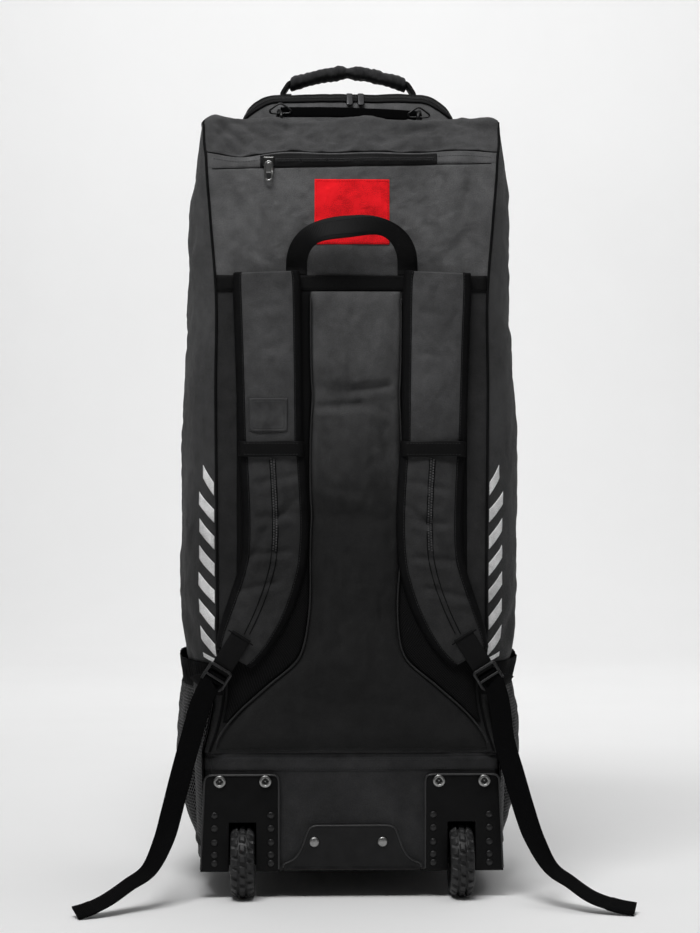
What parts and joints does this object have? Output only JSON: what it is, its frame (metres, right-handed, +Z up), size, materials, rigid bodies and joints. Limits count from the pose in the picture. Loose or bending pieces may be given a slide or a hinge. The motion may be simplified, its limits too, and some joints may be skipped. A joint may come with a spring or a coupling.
{
  "type": "wheeled cricket kit bag",
  "caption": "Tall upright wheeled kit bag with padded backpack straps, raised zipped lid, net side pockets, grab handle, moulded wheel housings and front skid.",
  "frame": {"origin": "on the floor, under the middle of the whole bag with its strap tails, as it stands upright", "axes": "+Z up; -Y out of the back panel with the backpack straps; +X to the right seen from that side"},
  "size_m": [0.6406, 0.452, 1.0149],
  "materials": {
    "grey_cloth": "coated canvas-weave polyester",
    "dark_cloth": "coated canvas-weave polyester, dark",
    "spacer_mesh": "padded air mesh",
    "net": "open net",
    "webbing": "ribbed woven webbing",
    "zip_tape": "coil zip tape",
    "zip_metal": "satin nickel",
    "red_badge": "woven label",
    "rubber_patch": "moulded rubber",
    "buckle_plastic": "moulded acetal",
    "ring_metal": "black plated wire",
    "moulded_plastic": "grained polypropylene",
    "screw_steel": "zinc-plated",
    "tyre": "moulded rubber with block tread"
  },
  "bodies": {
    "bag": {"anchor_web_left": "webbing", "anchor_web_right": "webbing", "back_band": "webbing", "back_centre_pad": "grey_cloth", "back_mesh_left": "spacer_mesh", "back_mesh_right": "spacer_mesh", "back_panel": "grey_cloth", "back_upper_panel": "grey_cloth", "badge_patch": "red_badge", "boot": "dark_cloth", "front_lid": "grey_cloth", "front_skid": "moulded_plastic", "front_wall_left": "grey_cloth", "front_wall_right": "grey_cloth", "haul_handle": "webbing", "hood": "grey_cloth", "kick_plate": "moulded_plastic", "ladder_lock_left": "buckle_plastic", "ladder_lock_right": "buckle_plastic", "lid_zip": "zip_tape", "lid_zip_pull_left": "zip_metal", "lid_zip_pull_right": "zip_metal", "mesh_pocket_left": "net", "mesh_pocket_right": "net", "piping_left": "dark_cloth", "piping_right": "dark_cloth", "pocket_elastic_left": "webbing", "pocket_elastic_right": "webbing", "pocket_pull": "zip_metal", "pocket_slider": "zip_metal", "pocket_zip": "zip_tape", "screw_inner_left": "screw_steel", "screw_inner_right": "screw_steel", "screw_outer_left": "screw_steel", "screw_outer_right": "screw_steel", "shoulder_strap_left": "grey_cloth", "shoulder_strap_right": "grey_cloth", "side_panel_left": "grey_cloth", "side_panel_right": "grey_cloth", "strap_cross_web_left": "webbing", "strap_cross_web_right": "webbing", "strap_end_web_left": "webbing", "strap_end_web_right": "webbing", "strap_lower_left": "grey_cloth", "strap_lower_right": "grey_cloth", "strap_patch": "rubber_patch", "strap_tail_left": "webbing", "strap_tail_right": "webbing", "top_handle_grip": "dark_cloth", "top_handle_leg_left": "webbing", "top_handle_leg_right": "webbing", "top_haul_strap": "webbing", "wheel_housing_left": "moulded_plastic", "wheel_housing_right": "moulded_plastic", "wire_ring_left": "ring_metal", "wire_ring_right": "ring_metal"},
    "wheel_left": {"tyre_left": "tyre", "wheel_hub_left": "moulded_plastic"},
    "wheel_right": {"tyre_right": "tyre", "wheel_hub_right": "moulded_plastic"}
  },
  "joints": [
    {"name": "wheel_left_spin", "type": "hinge", "parent": "bag", "child": "wheel_left", "pos_m": [-0.13, -0.11224, 0.043], "axis": [1, 0, 0], "continuous": true},
    {"name": "wheel_right_spin", "type": "hinge", "parent": "bag", "child": "wheel_right", "pos_m": [0.13, -0.11224, 0.043], "axis": [1, 0, 0], "continuous": true}
  ]
}
